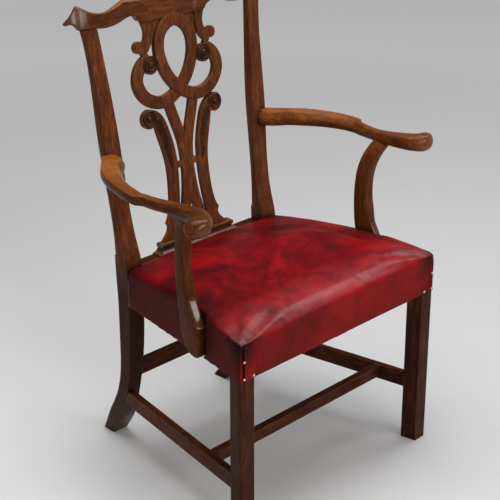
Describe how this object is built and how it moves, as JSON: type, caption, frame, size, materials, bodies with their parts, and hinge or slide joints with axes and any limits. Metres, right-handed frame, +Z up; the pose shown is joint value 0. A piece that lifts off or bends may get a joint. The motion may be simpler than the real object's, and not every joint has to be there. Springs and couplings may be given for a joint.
{
  "type": "dining armchair",
  "caption": "Carved mahogany armchair with a pierced splat, rolled crest ears, scrolled arms and a fixed leather seat.",
  "frame": {"origin": "on the floor, at the middle of the chair's width and depth", "axes": "+X to the viewer's right facing the chair, +Y towards its back, +Z up"},
  "size_m": [0.7146, 0.557, 1.012],
  "materials": {
    "frame_mahogany": "dark polished mahogany with worn arrises",
    "back_mahogany": "polished mahogany, dark in the carving",
    "arm_mahogany": "polished mahogany, light where hands rub",
    "seat_beech": "raw beech",
    "peg_wood": "pale peg end",
    "screw_steel": "dull steel",
    "webbing": "woven jute",
    "hessian": "coarse hessian",
    "stuffing": "curled hair under wadding",
    "seat_leather": "aged red leather with dark smoky patches",
    "nail_brass": "small worn dome heads"
  },
  "bodies": {
    "root": {"rear_leg_left": "frame_mahogany", "rear_leg_right": "frame_mahogany", "front_leg_left": "frame_mahogany", "front_leg_right": "frame_mahogany", "side_stretcher_left": "frame_mahogany", "side_stretcher_right": "frame_mahogany", "arm_left": "arm_mahogany", "arm_right": "arm_mahogany", "arm_support_left": "frame_mahogany", "arm_support_right": "frame_mahogany", "side_seat_rail_left": "seat_beech", "side_seat_rail_right": "seat_beech", "corner_block_front_left": "seat_beech", "corner_block_front_right": "seat_beech", "corner_block_rear_left": "seat_beech", "corner_block_rear_right": "seat_beech", "front_seat_rail": "seat_beech", "rear_seat_rail": "frame_mahogany", "medial_stretcher": "frame_mahogany", "rear_stretcher": "frame_mahogany", "splat": "back_mahogany", "splat_shoe": "back_mahogany", "crest_rail": "back_mahogany", "support_screws": "screw_steel", "arm_screws": "screw_steel", "arm_pegs": "peg_wood", "webbing_lengthwise": "webbing", "webbing_crosswise": "webbing", "hessian": "hessian", "seat_stuffing": "stuffing", "seat_cover": "seat_leather", "cover_nails": "nail_brass"}
  },
  "joints": []
}
